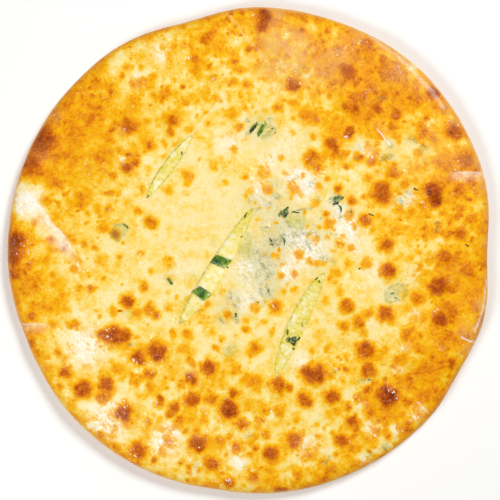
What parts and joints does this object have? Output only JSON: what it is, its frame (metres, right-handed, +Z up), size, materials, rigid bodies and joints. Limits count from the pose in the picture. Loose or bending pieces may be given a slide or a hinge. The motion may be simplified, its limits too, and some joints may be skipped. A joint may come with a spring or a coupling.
{
  "type": "imeruli khachapuri",
  "caption": "Round flat cheese bread, blistered and golden, with slashes through the top dough that show the cheese and bits of cooked greens.",
  "frame": {"origin": "middle of the flat underside, on the surface that the bread rests on", "axes": "+Z up through the bread's thickness, +Y towards the top of the picture, +X towards its right"},
  "size_m": [0.277, 0.2798, 0.0187],
  "materials": {
    "baked_dough": "thin baked dough, golden to cream with brown blisters, buttered in patches",
    "fresh_cheese": "soft melted fresh cheese, pale yellow, moist",
    "onion_green": "cooked spring onion, moist",
    "wilted_herb": "wilted dark herb leaf, oily"
  },
  "bodies": {
    "root": {"bread_crust": "baked_dough", "cheese_filling": "fresh_cheese", "spring_onion_upper": "onion_green", "spring_onion_lower": "onion_green", "onion_stalk_green": "onion_green", "chive_snip": "onion_green", "onion_stalk_dark": "wilted_herb", "wilted_leaf_slash": "wilted_herb", "wilted_leaf_centre": "wilted_herb", "wilted_leaf_east": "wilted_herb"}
  },
  "joints": []
}
